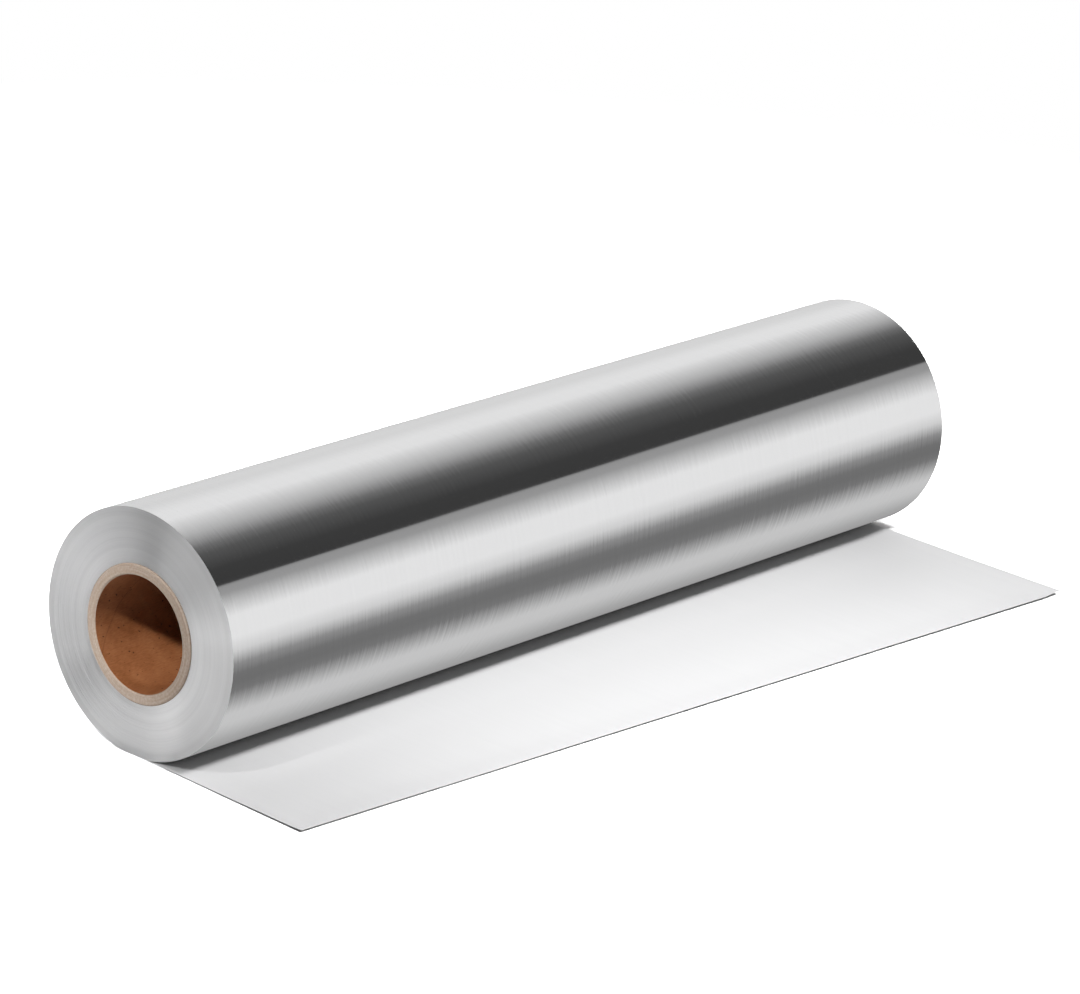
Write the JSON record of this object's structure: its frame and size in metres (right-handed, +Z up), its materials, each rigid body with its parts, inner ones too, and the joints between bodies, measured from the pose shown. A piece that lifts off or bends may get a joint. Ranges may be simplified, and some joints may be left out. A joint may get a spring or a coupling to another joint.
{
  "type": "aluminium foil roll",
  "caption": "Roll of kitchen foil wound on a cardboard core, lying on its side with a short flat leaf drawn out in front.",
  "frame": {"origin": "on the table, on the flat spot that the roll rests on, under the middle of the roll's axis", "axes": "+X along the roll, +Z up, and the free leaf runs forward along -Y"},
  "size_m": [0.3043, 0.1187, 0.0678],
  "materials": {
    "foil": "satin",
    "cardboard": "matte"
  },
  "bodies": {
    "root": {"foil": "foil", "core": "cardboard"}
  },
  "joints": []
}
